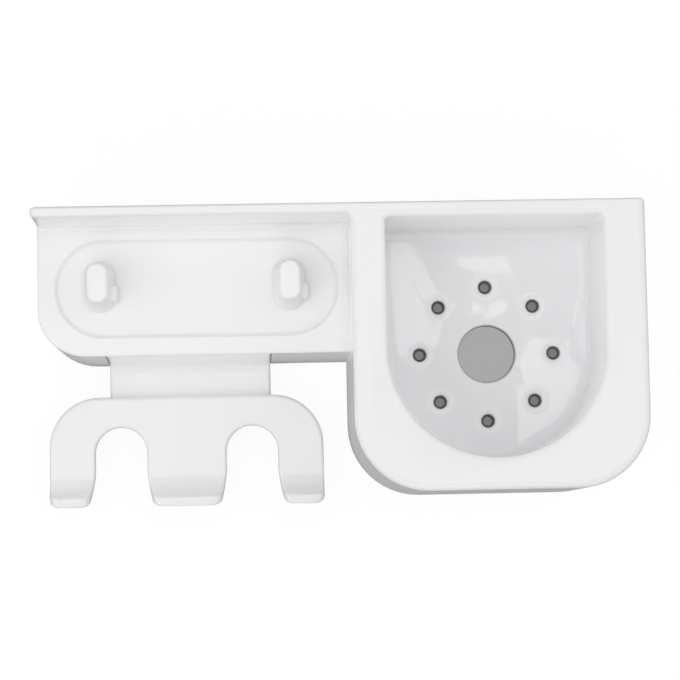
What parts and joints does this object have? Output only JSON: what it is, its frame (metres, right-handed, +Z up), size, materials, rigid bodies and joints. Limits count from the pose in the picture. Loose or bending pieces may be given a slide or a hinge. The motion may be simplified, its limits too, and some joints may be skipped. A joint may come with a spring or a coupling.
{
  "type": "electric toothbrush holder",
  "caption": "Wall holder in white plastic: shelf with brush head posts, D-shaped drained cup, and a clipped-on fork hanger with upturned fingers for toothbrushes.",
  "frame": {"origin": "middle of the object's base, in the plane of the tray's lower edge", "axes": "+Z up, +Y towards the wall that the pads stick to, +X from the shelf towards the cup"},
  "size_m": [0.2, 0.0981, 0.056],
  "materials": {
    "white_plastic": "smooth gloss moulding",
    "pad_foam": "matt closed-cell foam with adhesive face"
  },
  "bodies": {
    "root": {"tray_body": "white_plastic", "toothbrush_hanger": "white_plastic", "brush_head_post_left": "white_plastic", "brush_head_post_right": "white_plastic", "adhesive_pad_left": "pad_foam", "adhesive_pad_right": "pad_foam"}
  },
  "joints": []
}
